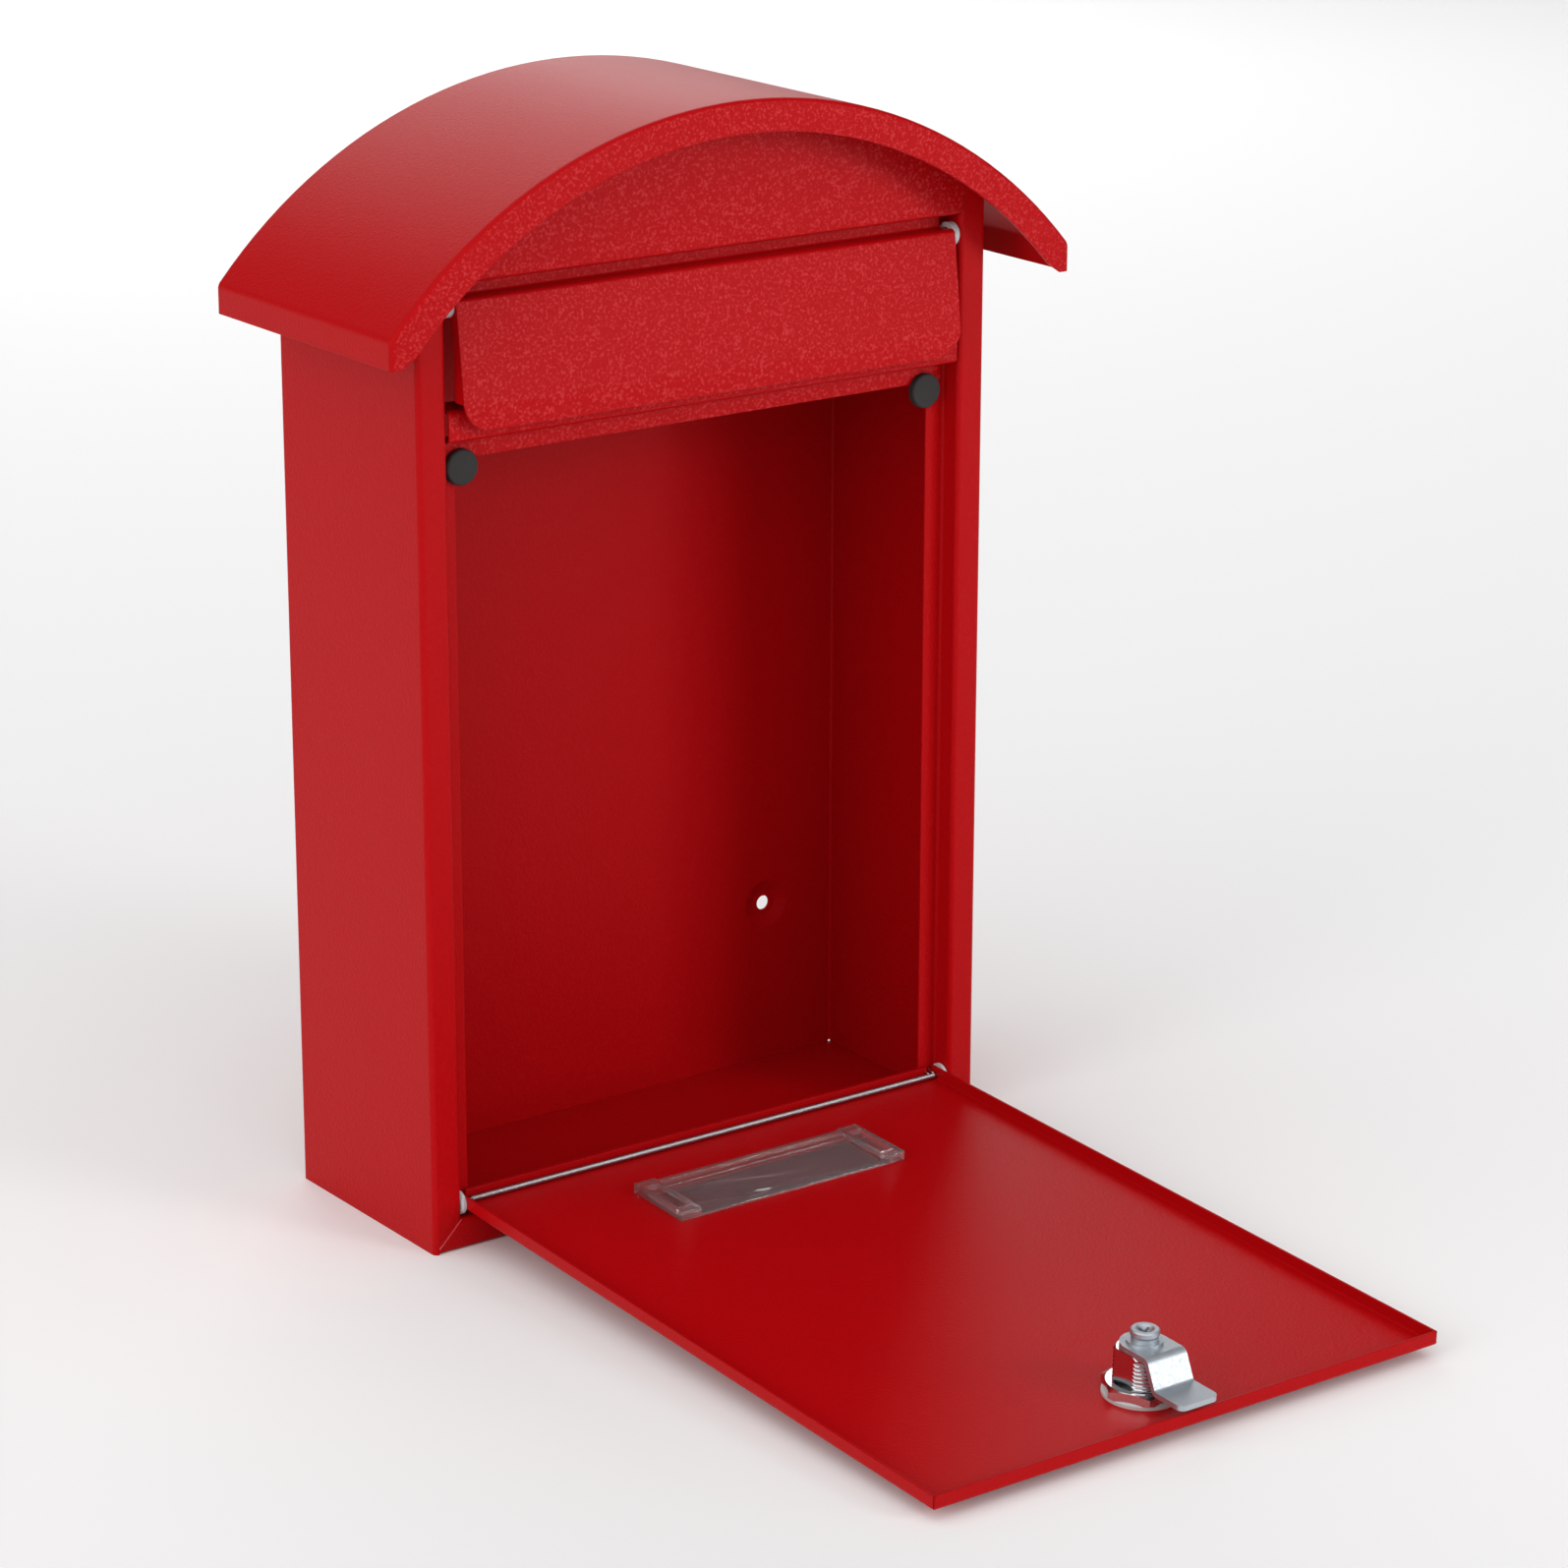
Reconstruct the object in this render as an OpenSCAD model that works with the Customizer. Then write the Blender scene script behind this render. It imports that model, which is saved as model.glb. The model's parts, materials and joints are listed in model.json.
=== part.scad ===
// Wall mailbox of folded sheet steel: arched overhanging roof, letter flap,
// bottom-hinged door lying open, cam lock and clear name holder.
// +X is the viewer's right, the front faces -Y and the wall plane is y = 0.
// Heights are written above the underside of the box; the origin is lifted
// to the centre of the four wall holes at the end.

/* [Body] */
// Width of the box
body_w = 262; // [230:1:300]
// Depth of the box, from its back sheet to its front face
body_d = 98.4; // [85:0.1:130]
// Thickness of the steel sheet
sheet = 0.9; // [0.7:0.1:1.2]
// Outside radius of the folds
fold_r = 2; // [1.6:0.1:3]
// Width of the front flanges round the openings
flange_w = 12.5; // [10:0.5:18]
// Depth of the rebate that the door closes into
rebate_d = 9.4; // [9.2:0.1:12]
// Width of the stop flange at each side of the rebate
stop_w = 8.7; // [6:0.1:12]
// Height of the stop strip behind the hinge, above the bottom flange
stop_h = 7.5; // [5:0.1:9]
// Diameter of the relief drilling in the lower back corners
relief_dia = 1.4; // [1:0.1:1.6]
// Distance that the pressed bosses hold the back off the wall
standoff = 2; // [1:0.1:4]

/* [Wall holes] */
// Diameter of the wall holes
hole_dia = 6.2; // [4:0.1:8]
// Distance between the holes across the back
hole_dx = 192; // [150:1:200]
// Height of the lower holes
hole_low = 70; // [40:1:90]
// Least distance of the upper holes below the slot's upper edge
hole_drop = 56; // [50:1:80]
// Diameter of the flat land of a pressed boss
boss_land = 11; // [9:0.5:16]
// Diameter of a pressed boss where it leaves the back
boss_dia = 21; // [18:0.5:28]

/* [Roof] */
// Distance that each eave stands out beside the box
eave_out = 24.2; // [15:0.1:40]
// Distance that the roof's front lip stands out of the front face
roof_out = 22.3; // [12:0.1:50]
// Outside radius of the arch
roof_r = 205.2; // [190:0.2:240]
// Height of the arch's top
roof_top = 435.3; // [425:0.1:450]
// Distance of the eaves' lower edges below the arch's top
eave_drop = 81.9; // [79:0.1:86]
// Fold radius where the arch meets an eave
eave_r = 4; // [3:0.5:8]
// Width of the front lip, inward from the arch
lip_w = 12.5; // [8:0.5:20]
// Length of the lip's level lower end, before it slants up along the arch
lip_run = 2.6; // [2.2:0.1:5]

/* [Letter slot] */
// Distance of the slot's upper edge below the sides' upper edges
slot_drop = 10.7; // [8:0.1:16]
// Height of the letter slot
slot_h = 46.4; // [40:0.1:56]
// Height of the rail's front face
rail_h = 12.3; // [10:0.1:16]
// Depth of the rail's upper fold, which letters slide over
rail_chute = 14; // [8:0.5:30]
// Height of the stop strip under the rail
rail_stop_h = 8.4; // [7:0.1:10]
// Gap between each end of the rail and the box
rail_gap = 0.9; // [0.3:0.1:2]
// Depth of the fold under the gable
gable_fold = 8; // [4:0.5:12]

/* [Letter flap] */
// Gap between each end of the flap and the box
flap_gap = 3.9; // [3.4:0.1:5]
// Distance that the flap's top edge stands out of the front face
flap_out_top = 1.4; // [1:0.1:3]
// Distance that the flap's fold stands out of the front face
flap_out_low = 6.1; // [4:0.1:8]
// Gap above the flap's top edge
flap_top_gap = 5.1; // [4.5:0.1:6]
// Height of the flap's sloping face
flap_face_h = 39.5; // [34:0.1:44]
// Length of the flap's lower lip
flap_lip = 9.4; // [6:0.1:12]
// Radius of the lip's lower corners
flap_corner_r = 11.5; // [4:0.5:12]
// Depth of the folded ears, behind the lower fold
flap_ear = 6.5; // [4:0.1:8]
// Gap between the flap's tail and the gable's fold that stops it
flap_tail_gap = 0.1; // [0.1:0.05:0.5]
// Distance of the flap's hinge axis behind the front face
flap_axis_in = 4.2; // [3.9:0.1:4.6]
// Distance of the flap's hinge axis below its top edge
flap_axis_down = 2.6; // [2.4:0.1:3.4]

/* [Door] */
// Gap between each side of the door and the box
door_gap = 2.2; // [1.8:0.1:4]
// Gap between the closed door and the rail above it
door_top_gap = 2.9; // [2:0.1:4]
// Gap between the closed door and the bottom flange
door_low_gap = 1.6; // [1.2:0.1:2]
// Height of the door's rims, from its outer face
door_rim = 5.75; // [5:0.05:6.5]
// Height of the rim beside the hinge
door_hinge_rim = 5.4; // [4.6:0.1:5.6]
// Outside fold radius of the rims
door_fold_r = 1.5; // [1.2:0.1:2.5]
// Distance of the hinge axis behind the front face
door_axis_in = 4.5; // [4.2:0.1:4.8]
// Height of the hinge axis above the bottom flange
door_axis_up = 5.1; // [4.8:0.1:6]
// Distance from the hinge axis to the door's outer face
door_axis_face = 2.4; // [2.3:0.1:2.7]
// How far the open door droops below level
door_droop = 2.05; // [0:0.05:2.1]

/* [Hinges] */
// Diameter of the hinge rods
rod_dia = 1.5; // [1.2:0.1:1.6]
// Outside diameter of the coil springs
spring_dia = 2.7; // [2.4:0.1:2.8]
// Diameter of a bush's flange
bush_dia = 9.4; // [8:0.1:9.4]
// Diameter of a bush's hub
bush_hub = 4.6; // [3.6:0.1:6]
// Running gap of a turning fit
run_gap = 0.05; // [0.02:0.01:0.09]

/* [Bumpers] */
// Diameter of a rubber bumper
bumper_dia = 13.8; // [10:0.1:14]
// Thickness of a rubber bumper
bumper_t = 3; // [2:0.1:4]
// Rounding of a bumper's edge
bumper_round = 1; // [0.4:0.1:1.4]
// Distance of a bumper's middle inward from the front flange
bumper_in = 10.6; // [9.6:0.1:13]
// Distance of a bumper's middle below the rail
bumper_down = 11.2; // [10.8:0.1:14]

/* [Name holder] */
// Length of the name holder
holder_l = 107.5; // [80:0.5:120]
// Width of the name holder
holder_w = 32.6; // [28:0.2:40]
// Distance of the holder above the hinge axis
holder_up = 26.6; // [20:0.2:60]
// Height of the holder's end caps
holder_t = 4; // [3:0.1:5]
// Length of each end cap
holder_cap = 9.5; // [6:0.5:14]
// Width of the long rail beside the hinge
holder_rail = 5.6; // [3:0.1:8]
// Thickness of the window pane
pane_t = 1.2; // [0.8:0.1:2]
// Margin of the window opening inside the holder
window_margin = 3; // [2:0.5:5]

/* [Lock] */
// Distance of the lock's middle from the door's free edge
lock_in = 28.9; // [26:0.1:60]
// Thread diameter of the lock's barrel
barrel_dia = 21.8; // [18:0.1:22]
// Distance across the barrel's flats
barrel_flats = 18; // [15:0.1:19]
// Height of the barrel's top above the door's outer face
barrel_h = 18.8; // [16:0.1:22]
// Chamfer of the barrel's thread at its top
barrel_chamfer = 0.9; // [0.5:0.1:1.5]
// Diameter of the lock's outer bezel
bezel_dia = 26.5; // [24:0.5:32]
// Height of the lock's outer bezel
bezel_h = 5.2; // [3:0.1:5.2]
// Diameter of the turning plug
plug_dia = 12; // [10:0.5:14]
// Side of the square that drives the cam
drive_sq = 8; // [6:0.5:9]
// Distance across the flats of the nut
nut_af = 27; // [24:0.5:30]
// Thickness of the nut
nut_t = 4; // [3:0.1:6]
// Diameter of the soft washer under the nut
seal_dia = 29.3; // [27:0.1:32]
// Thickness of the soft washer
seal_t = 1.2; // [0.8:0.1:2]
// Width of the cam
cam_w = 18; // [14:0.5:20]
// Thickness of the cam
cam_t = 2; // [1.5:0.1:2.5]
// Gap between the cam's tip and the rail's fold above it
cam_tip_gap = 0.5; // [0.3:0.1:2]
// Gap between the cam's tongue and the stop strip in front of it
cam_gap = 0.3; // [0.2:0.05:1]
// Diameter of the cam screw's head
screw_head = 10.8; // [9:0.1:12]
// Diameter of the cam screw's shank
screw_dia = 6; // [5:0.5:6]
// Diameter of the flat washer on the cam
washer_dia = 13.4; // [11:0.1:16]

/* [Hidden] */
$fn = 64;

PAINT = "firebrick";
NYLON = "whitesmoke";
RUBBER = "dimgray";
STEEL = "silver";
CLEAR = "lightgray";

seam = 0.05;
weld_gap = 0.05;
half_w = body_w / 2;
open_half = half_w - flange_w;
stop_half = open_half - stop_w;
front_y = -(standoff + body_d);
back_y = -standoff;
stop_y = front_y + rebate_d;
fold_mid = fold_r - sheet / 2;
fold_in = fold_r - sheet;
relief_in = relief_dia / 2 + 0.4;
far = 2 * roof_top;

roof_w = body_w + 2 * eave_out;
roof_d = roof_out - front_y;
arch_z = roof_top - roof_r;
eave_z = roof_top - eave_drop;
under_r = roof_r - sheet - weld_gap;

slot_top = under_z(half_w) - slot_drop;
rail_top = slot_top - slot_h;
rail_bottom = rail_top - rail_h;
stop_bottom = rail_bottom - rail_stop_h;
strip_half = open_half - fold_in - 2 * seam;
hole_dz = floor(slot_top - hole_drop - hole_low);
mount_z = hole_low + hole_dz / 2;

flap_w = 2 * (open_half - flap_gap);
flap_z_top = slot_top - flap_top_gap;
flap_z_fold = flap_z_top - flap_face_h;
flap_axis_y = front_y + flap_axis_in;
flap_axis_z = flap_z_top - flap_axis_down;

door_w = 2 * (open_half - door_gap);
door_axis_y = front_y + door_axis_in;
door_axis_z = flange_w + door_axis_up;
door_up = rail_bottom - door_top_gap - door_axis_z;
door_down = door_axis_up - door_low_gap;
face_z = -door_axis_face;
lock_up = door_up - lock_in;
cam_reach = lock_in + door_top_gap - cam_tip_gap;
cam_tongue_h = rebate_d - (door_axis_in - door_axis_face) + sheet + cam_gap + cam_t / 2;

// Turns a flat sketch of depth and height into a part along X
module along_x(length) {
    rotate([90, 0, 90]) linear_extrude(height = length, center = true) children();
}

// Turns a flat sketch of width and height into a part from y to y + depth
module along_y(y, depth) {
    translate([0, y + depth, 0]) rotate([90, 0, 0]) linear_extrude(height = depth) children();
}

function unit(v) = v / norm(v);
function left_of(v) = [-v[1], v[0]];
function turn_half(a, b) = acos(max(-1, min(1, a * b))) / 2;

// Length of a straight stretch taken up by the fold at its end
function fold_cut(pts, i, r) =
    (i == 0 || i == len(pts) - 1) ? 0
    : r * tan(turn_half(unit(pts[i] - pts[i - 1]), unit(pts[i + 1] - pts[i])));

// Section of a folded sheet along its middle line, with round folds
module folded(pts, thick = sheet, r = fold_mid) {
    for (i = [0 : len(pts) - 2]) {
        d = unit(pts[i + 1] - pts[i]);
        n = left_of(d) * thick / 2;
        a = pts[i] + d * fold_cut(pts, i, r);
        b = pts[i + 1] - d * fold_cut(pts, i + 1, r);
        polygon([a - n, b - n, b + n, a + n]);
    }
    for (i = [1 : len(pts) - 2]) {
        d0 = unit(pts[i] - pts[i - 1]);
        d1 = unit(pts[i + 1] - pts[i]);
        side = (d0[0] * d1[1] - d0[1] * d1[0]) > 0 ? 1 : -1;
        c = pts[i] - d0 * fold_cut(pts, i, r) + left_of(d0) * side * r;
        a = -left_of(d0) * side;
        b = -left_of(d1) * side;
        reach = 3 * r;
        intersection() {
            translate(c) difference() {
                circle(r + thick / 2);
                circle(r - thick / 2);
            }
            polygon([c, c + a * reach, c + (a + b) * reach, c + b * reach]);
        }
        // a small patch inside the sheet joins each straight run to its fold
        for (p = [c + a * r, c + b * r]) translate(p) square(thick * 0.4, center = true);
    }
}

// Height of the roof's inner face at a distance from the middle
function under_z(x) = arch_z + sqrt(pow(under_r, 2) - pow(x, 2));

// Everything below the roof's inner face, as a sketch of width and height.
// The sides and their folds end level, where the arch meets their outer face
module under_arch() {
    arch_half = half_w - fold_r - seam;
    translate([-body_w, -1]) square([2 * body_w, under_z(half_w) + 1]);
    intersection() {
        translate([0, arch_z]) circle(under_r, $fn = 180);
        translate([-arch_half, arch_z]) square([2 * arch_half, roof_r]);
    }
}

// Body shell: sides, back, front flanges, returns and stop flanges in one sheet
module shell_plan() {
    mid = sheet / 2;
    folded([
        [-stop_half, stop_y + mid], [-open_half - mid, stop_y + mid],
        [-open_half - mid, front_y + mid], [-half_w + mid, front_y + mid],
        [-half_w + mid, back_y - mid], [half_w - mid, back_y - mid],
        [half_w - mid, front_y + mid], [open_half + mid, front_y + mid],
        [open_half + mid, stop_y + mid], [stop_half, stop_y + mid]]);
}

// A boss pressed out of the back towards the wall, solid before it is hollowed
module boss(grow) {
    rotate([90, 0, 0]) rotate_extrude()
        polygon([[0, 0], [boss_land / 2 + grow, 0], [boss_dia / 2 + grow, standoff + grow / 2],
            [boss_dia / 2 + grow, standoff + sheet], [0, standoff + sheet]]);
}

module at_holes() {
    for (sx = [-1, 1], z = [hole_low, hole_low + hole_dz])
        translate([sx * hole_dx / 2, 0, z]) children();
}

module body_shell() {
    flange_edge = half_w - fold_r - seam;
    color(PAINT) difference() {
        union() {
            intersection() {
                linear_extrude(height = roof_top) shell_plan();
                along_y(front_y - 1, body_d + 2) under_arch();
            }
            at_holes() boss(0);
        }
        // the hollow side of each boss and its hole
        at_holes() {
            translate([0, -sheet, 0]) rotate([90, 0, 0]) rotate_extrude()
                polygon([[0, 0], [boss_land / 2, 0], [boss_dia / 2, standoff],
                    [boss_dia / 2, 2 * standoff], [0, 2 * standoff]]);
            rotate([90, 0, 0]) cylinder(d = hole_dia, h = 4 * (standoff + sheet), center = true);
        }
        // the gable fills the front above the slot
        translate([-open_half - fold_r, front_y - 1, slot_top])
            cube([2 * (open_half + fold_r), rebate_d + 3, far]);
        // the stop flanges end under the rail's stop strip
        translate([-open_half + fold_in, stop_y - 0.2, stop_bottom - seam])
            cube([2 * (open_half - fold_in), 2 * sheet, far]);
        // mitre towards the bottom flange
        along_y(front_y - 1, fold_r + 1) for (s = [-1, 1])
            polygon([[s * flange_edge, -1], [s * flange_edge, half_w - flange_edge + seam],
                [s * (open_half - 1), flange_w + 1 + seam], [s * (open_half - 1), -1]]);
        // the stop flanges start on the bottom panel's fold, the returns on its floor
        translate([-open_half - seam, front_y + fold_r, -1])
            cube([2 * (open_half + seam), rebate_d, flange_w + 1 + seam]);
        translate([-half_w + sheet + seam, front_y + fold_r, -1])
            cube([body_w - 2 * (sheet + seam), rebate_d, sheet + 1 + seam]);
        // holes of the hinge bushes in the returns
        for (p = [[door_axis_y, door_axis_z], [flap_axis_y, flap_axis_z]])
            for (s = [-1, 1]) translate([s * (open_half + sheet / 2), p[0], p[1]])
                rotate([0, 90, 0]) cylinder(d = bush_hub + 2 * seam, h = 3 * sheet, center = true);
        // relief holes in the lower back corners
        for (s = [-1, 1]) translate([s * (half_w - relief_in), back_y - fold_r * 0.7, relief_in])
            rotate([-90, 0, 0]) cylinder(d = relief_dia, h = 2 * fold_r);
    }
}

// Bottom panel: floor, front flange, fold under the door and stop strip
module bottom_panel() {
    mid = sheet / 2;
    inner = half_w - sheet - seam;
    flange_edge = half_w - fold_r - seam;
    color(PAINT) difference() {
        along_x(2 * inner) folded([
            [back_y - sheet - seam, mid], [front_y + mid, mid],
            [front_y + mid, flange_w - mid], [stop_y + mid, flange_w - mid],
            [stop_y + mid, flange_w + stop_h]]);
        for (s = [-1, 1]) {
            // mitre towards the side flange
            along_y(front_y - 1, fold_r + 1)
                polygon([[s * (flange_edge + seam), -1], [s * (flange_edge + seam), half_w - flange_edge - seam],
                    [s * (open_half - seam), flange_w - seam], [s * (open_half - seam), flange_w + 2],
                    [s * (half_w + 1), flange_w + 2], [s * (half_w + 1), -1]]);
            // ends of the fold and of the stop strip, between the side flanges
            translate([s > 0 ? open_half - seam : -half_w, front_y + fold_r - 0.01, sheet + 0.5])
                cube([flange_w + seam, rebate_d + 1, flange_w + stop_h]);
            translate([s > 0 ? stop_half - seam : -half_w, stop_y - 0.01, flange_w + seam])
                cube([half_w - stop_half + seam, sheet + 1, stop_h + 1]);
        }
    }
}

// Gable panel: the front above the slot, with its lower edge folded inward
module gable_panel() {
    mid = sheet / 2;
    edge = open_half + fold_r - seam;
    fold_half = open_half - seam;
    color(PAINT) intersection() {
        union() {
            difference() {
                along_x(2 * edge) folded([
                    [front_y + mid, roof_top], [front_y + mid, slot_top + mid],
                    [front_y + gable_fold, slot_top + mid]]);
                for (s = [-1, 1]) translate([s > 0 ? fold_half : -fold_half - fold_r, front_y - 1, slot_top - 1])
                    cube([fold_r, gable_fold + 2, fold_r + 2]);
            }
            // square lower corners that stand on the front flanges
            for (s = [-1, 1]) translate([s > 0 ? fold_half : -edge, front_y, slot_top + seam])
                cube([fold_r, sheet, 2 * fold_r]);
        }
        along_y(front_y - 1, body_d) under_arch();
    }
}

// Slot rail: lower edge of the letter slot and stop for the door's free edge
module slot_rail() {
    mid = sheet / 2;
    rail_half = open_half - rail_gap;
    color(PAINT) difference() {
        along_x(2 * rail_half) folded([
            [front_y + rail_chute, rail_top - mid], [front_y + mid, rail_top - mid],
            [front_y + mid, rail_bottom + mid], [stop_y + mid, rail_bottom + mid],
            [stop_y + mid, stop_bottom]]);
        for (s = [-1, 1]) translate([s > 0 ? strip_half : -half_w, stop_y - 0.2, stop_bottom - 1])
            cube([half_w - strip_half, rail_chute, rail_h + rail_stop_h + 2]);
    }
}

// Section of the roof's sheet: its top, the round fold at the front and the lip.
// x runs outward from the surface, y runs from the wall to the front
module roof_section(lip) {
    translate([-sheet, 0]) square([sheet, roof_d - fold_r]);
    translate([-fold_r, roof_d - fold_r]) intersection() {
        difference() {
            circle(fold_r);
            circle(fold_r - sheet);
        }
        square(fold_r);
    }
    translate([-lip, roof_d - sheet]) square([lip - fold_r, sheet]);
}

module roof() {
    half = roof_w / 2;
    fold_x = half - eave_r;
    fold_z = arch_z + sqrt(pow(roof_r - eave_r, 2) - pow(fold_x, 2));
    tilt = atan(fold_x / (fold_z - arch_z));
    lip_end = (roof_r - lip_w) * [sin(tilt), cos(tilt)] + [0, arch_z];
    // the lip's end laps this far into the lip beside it
    lap = 1;
    lip_lap = (roof_r - lip_w + lap) * [sin(tilt - lap), cos(tilt - lap)] + [0, arch_z];
    color(PAINT) union() {
        translate([0, 0, arch_z]) rotate([90, 0, 0]) rotate([0, 0, 90 - tilt])
            rotate_extrude(angle = 2 * tilt, $fn = 180) translate([roof_r, 0]) roof_section(lip_w);
        for (s = [0, 1]) mirror([s, 0, 0]) {
            translate([fold_x, 0, fold_z]) rotate([90, 0, 0])
                rotate_extrude(angle = 90 - tilt) intersection() {
                    translate([eave_r, 0]) roof_section(eave_r);
                    square([2 * eave_r, 2 * roof_d]);
                }
            translate([half, 0, eave_z]) mirror([0, 1, 0])
                linear_extrude(height = fold_z - eave_z) roof_section(eave_r);
            // the lip's slanting lower end
            along_y(-roof_d, sheet) polygon([[fold_x + lap, fold_z + lap], lip_lap, lip_end,
                [half - fold_r - lip_run, eave_z], [fold_x + lap, eave_z]]);
        }
    }
}

// Letter flap, drawn closed
module flap_section() {
    mid = sheet / 2;
    tail_y = flap_axis_y + 1.9 + mid;
    top = [front_y - flap_out_top + mid, flap_z_top - mid];
    low = [front_y - flap_out_low + mid, flap_z_fold];
    folded([[tail_y, slot_top - flap_tail_gap], [tail_y, flap_z_top - mid], top, low,
        [front_y - flap_out_low + mid, flap_z_fold - flap_lip]], r = fold_mid);
}

module letter_flap() {
    half = flap_w / 2;
    corner = [half - flap_corner_r, flap_z_fold - flap_lip + flap_corner_r];
    face_top = front_y - flap_out_top;
    face_low = front_y - flap_out_low;
    ear_z = flap_z_fold + 1.2;
    eye = 3.4;
    mid = sheet / 2;
    lean = (flap_out_low - flap_out_top) / (flap_z_top - mid - flap_z_fold);
    face_end = flap_z_top - fold_r;
    corner_in = fold_r - fold_mid * sin(45);
    color(PAINT) difference() {
        union() {
            difference() {
                along_x(flap_w) flap_section();
                // round lower corners
                along_y(face_low - 1, 1 + 2 * sheet) for (s = [-1, 1]) difference() {
                    translate([s > 0 ? corner[0] : -half - 1, flap_z_fold - flap_lip - 1])
                        square([flap_corner_r + 1, flap_corner_r + 1]);
                    translate([s * corner[0], corner[1]]) circle(flap_corner_r);
                }
                // the tail and top fold end inside the ears
                for (s = [-1, 1]) translate([s > 0 ? half - sheet - 1 : -half - 1, face_top + fold_r + 1, flap_z_top - 2])
                    cube([sheet + 2, 14, 12]);
            }
            // folded ears, with an eye round the hinge rod
            for (s = [-1, 1]) translate([s * (half - sheet / 2), 0, 0]) along_x(sheet) {
                polygon([[face_low + mid + lean * (ear_z - flap_z_fold), ear_z],
                    [face_low + flap_ear, ear_z],
                    [front_y + 0.6, flap_axis_z - 8], [flap_axis_y + eye, flap_axis_z - 1],
                    [flap_axis_y + eye, flap_axis_z + 1], [flap_axis_y, flap_z_top - 0.2],
                    [face_top + fold_r, flap_z_top - mid],
                    [face_top + corner_in, flap_z_top - corner_in],
                    [face_low + mid + lean * (face_end - flap_z_fold), face_end]]);
                translate([flap_axis_y, flap_axis_z]) circle(eye - 0.6);
            }
        }
        translate([0, flap_axis_y, flap_axis_z]) rotate([0, 90, 0])
            cylinder(d = rod_dia + 2 * run_gap, h = body_w, center = true);
    }
}

// A rod along a hinge, through both bushes
module hinge_rod() {
    rotate([0, 90, 0]) cylinder(d = rod_dia, h = 2 * (open_half + sheet + 1.5), center = true);
}

// A close-wound coil, drawn as a sleeve
module coil_sleeve(x0, x1) {
    translate([x0, 0, 0]) rotate([0, 90, 0]) difference() {
        cylinder(d = spring_dia, h = x1 - x0);
        translate([0, 0, -1]) cylinder(d = rod_dia + 2 * run_gap, h = x1 - x0 + 2);
    }
}

// A nylon bush: its flange fills the gap and its hub sits in the box's return.
// The flange's edge is chamfered where the return folds into the stop flange
module bush(gap_w) {
    flange_t = gap_w - 3 * run_gap;
    chamfer = fold_in - 6 * run_gap;
    rotate([0, 90, 0]) difference() {
        union() {
            translate([0, 0, -flange_t]) rotate_extrude()
                polygon([[0, 0], [bush_dia / 2, 0], [bush_dia / 2, flange_t - chamfer],
                    [bush_dia / 2 - chamfer, flange_t], [0, flange_t]]);
            cylinder(d = bush_hub, h = sheet + 0.8);
        }
        cylinder(d = rod_dia + 2 * run_gap, h = 4 * gap_w, center = true);
    }
}

module at_flap_axis() {
    translate([0, flap_axis_y, flap_axis_z]) children();
}

module at_door_axis() {
    translate([0, door_axis_y, door_axis_z]) children();
}

module flap_rod() { color(STEEL) at_flap_axis() hinge_rod(); }

module flap_bush_right() { color(NYLON) at_flap_axis() translate([open_half - run_gap, 0, 0]) bush(flap_gap); }
module flap_bush_left() { mirror([1, 0, 0]) flap_bush_right(); }

// Places a piece of the door: drawn lying flat, the inside up, with the hinge
// axis at the origin and the free edge towards -Y
module open_door() {
    at_door_axis() rotate([door_droop, 0, 0]) children();
}

// A tray's section with round lower corners
module trough(x0, x1, top, r) {
    translate([x0 + r, 0]) square([x1 - x0 - 2 * r, top]);
    translate([x0, r]) square([x1 - x0, top - r]);
    for (x = [x0 + r, x1 - r]) translate([x, r]) circle(r);
}

module tray(inset, top) {
    half = door_w / 2 - inset;
    r = door_fold_r - inset;
    translate([0, 0, face_z + inset]) intersection() {
        along_y(-door_up, door_up + door_down) trough(-half, half, top, r);
        along_x(2 * half) trough(-door_up + inset, door_down - inset, top, r);
    }
}

module door() {
    half = door_w / 2;
    slit = 0.25;
    color(PAINT) open_door() difference() {
        tray(0, door_rim);
        tray(sheet, door_rim + 1);
        // the hinge rim is lower, and is notched beside the side rims
        translate([-half + sheet + seam, door_down - 2 * sheet, face_z + door_hinge_rim])
            cube([door_w - 2 * (sheet + seam), 3 * sheet, 3]);
        for (s = [-1, 1]) {
            translate([s > 0 ? half - sheet - 3 : -half + sheet, door_down - 2 * sheet, face_z + door_fold_r])
                cube([3, 3 * sheet, door_rim]);
            // mitre seams of the free corners
            translate([s * half, -door_up, face_z + door_fold_r]) rotate([0, 0, s * 45])
                translate([-slit / 2, -3, 0]) cube([slit, 6, door_rim]);
        }
        rotate([0, 90, 0]) cylinder(d = rod_dia + 2 * run_gap, h = body_w, center = true);
        // window behind the name holder
        translate([-holder_l / 2 + holder_cap - 1, -holder_up - holder_w + window_margin, face_z - 1])
            cube([holder_l - 2 * holder_cap + 2, holder_w - holder_rail - window_margin, sheet + 2]);
        // double-D hole of the lock
        translate([0, -lock_up, face_z - 1]) linear_extrude(height = sheet + 2)
            barrel_outline(seam);
    }
}

module door_rod() { color(STEEL) open_door() hinge_rod(); }

module door_spring() {
    end = door_w / 2 - sheet - 0.6;
    color(STEEL) open_door() coil_sleeve(-end + 3, end);
}

module door_bush_right() { color(NYLON) at_door_axis() translate([open_half - run_gap, 0, 0]) bush(door_gap); }
module door_bush_left() { mirror([1, 0, 0]) door_bush_right(); }

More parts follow.
